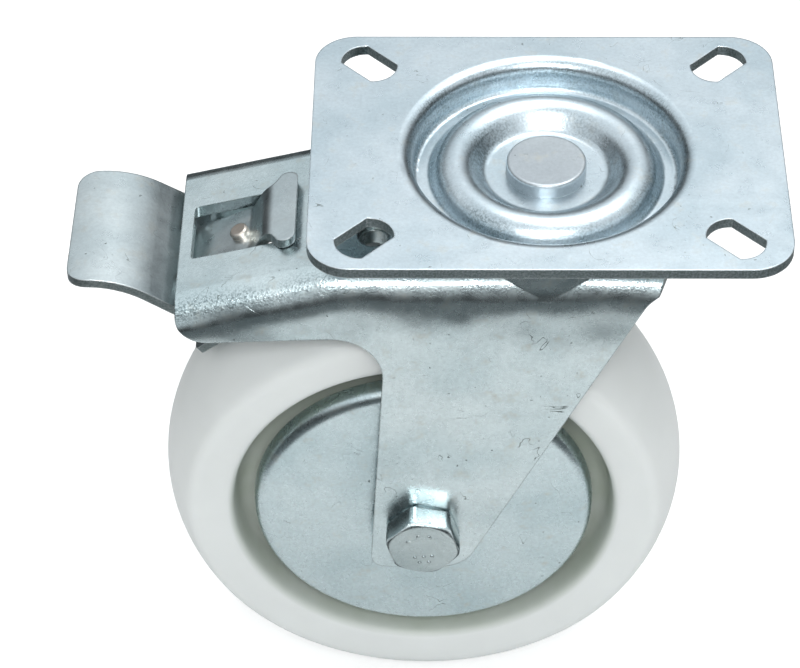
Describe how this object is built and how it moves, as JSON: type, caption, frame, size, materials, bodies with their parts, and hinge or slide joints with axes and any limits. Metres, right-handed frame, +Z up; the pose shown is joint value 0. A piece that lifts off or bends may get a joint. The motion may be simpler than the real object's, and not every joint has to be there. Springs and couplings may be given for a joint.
{
  "type": "swivel castor with brake",
  "caption": "Swivel castor with a slotted top plate, pressed steel fork, plain white nylon wheel and a rocker brake pedal on the fork's tail.",
  "frame": {"origin": "on the swivel axis, level with the mounting plate's upper face", "axes": "+Z up out of the plate's upper face, X along the plate's length with the fork trailing towards -X, Y along the wheel's axle"},
  "size_m": [0.1601, 0.08, 0.1599],
  "materials": {
    "zinc_plate": "bright zinc plated pressed steel",
    "zinc_fork": "bright zinc plated pressed steel",
    "zinc_guard": "bright zinc plated thin sheet",
    "zinc_bolt": "zinc plated fastener",
    "zinc_rocker": "bright zinc plated pressed steel",
    "bearing_steel": "ground bearing steel",
    "nylon": "white moulded nylon, satin"
  },
  "bodies": {
    "mounting_plate": {"top_plate": "zinc_plate", "kingpin": "zinc_plate", "lower_race": "zinc_fork"},
    "ball_rows": {"upper_balls": "bearing_steel", "lower_balls": "bearing_steel"},
    "fork_assembly": {"fork": "zinc_fork", "axle_bolt": "zinc_bolt", "lock_nut": "zinc_bolt", "nut_washer": "zinc_bolt", "axle_tube": "bearing_steel", "distance_sleeve": "bearing_steel", "distance_ring_near": "zinc_fork", "distance_ring_far": "zinc_fork", "bearing_inner_ring_near": "bearing_steel", "bearing_inner_ring_far": "bearing_steel", "thread_guard_near": "zinc_guard", "thread_guard_far": "zinc_guard", "rocker_spring": "zinc_rocker", "spring_rivets": "zinc_rocker"},
    "wheel_body": {"wheel": "nylon", "bearing_outer_ring_near": "bearing_steel", "bearing_outer_ring_far": "bearing_steel"},
    "bearing_ball_rows": {"bearing_balls_near": "bearing_steel", "bearing_balls_far": "bearing_steel", "bearing_cage_near": "bearing_steel", "bearing_cage_far": "bearing_steel"},
    "brake_pedal": {"brake_rocker": "zinc_rocker", "brake_shoe": "zinc_rocker", "brake_rivet": "zinc_rocker"}
  },
  "joints": [
    {"name": "swivel", "type": "hinge", "parent": "mounting_plate", "child": "fork_assembly", "pos_m": [0, 0, 0], "axis": [0, 0, 1], "continuous": true},
    {"name": "ball_rows_orbit", "type": "hinge", "parent": "mounting_plate", "child": "ball_rows", "pos_m": [0, 0, -0.0075], "axis": [0, 0, 1], "continuous": true},
    {"name": "wheel_spin", "type": "hinge", "parent": "fork_assembly", "child": "wheel_body", "pos_m": [-0.0276, 0, -0.0974], "axis": [0, 1, 0], "continuous": true},
    {"name": "bearing_balls_orbit", "type": "hinge", "parent": "fork_assembly", "child": "bearing_ball_rows", "pos_m": [-0.0276, 0, -0.0974], "axis": [0, 1, 0], "continuous": true},
    {"name": "brake_rock", "type": "hinge", "parent": "fork_assembly", "child": "brake_pedal", "pos_m": [-0.0815, 0, -0.02977], "axis": [0, -1, 0], "range_deg": [0, 8]}
  ],
  "couplings": [
    {"joint": "ball_rows_orbit", "follows": "swivel", "ratio": 0.5},
    {"joint": "bearing_balls_orbit", "follows": "wheel_spin", "ratio": 0.618}
  ]
}
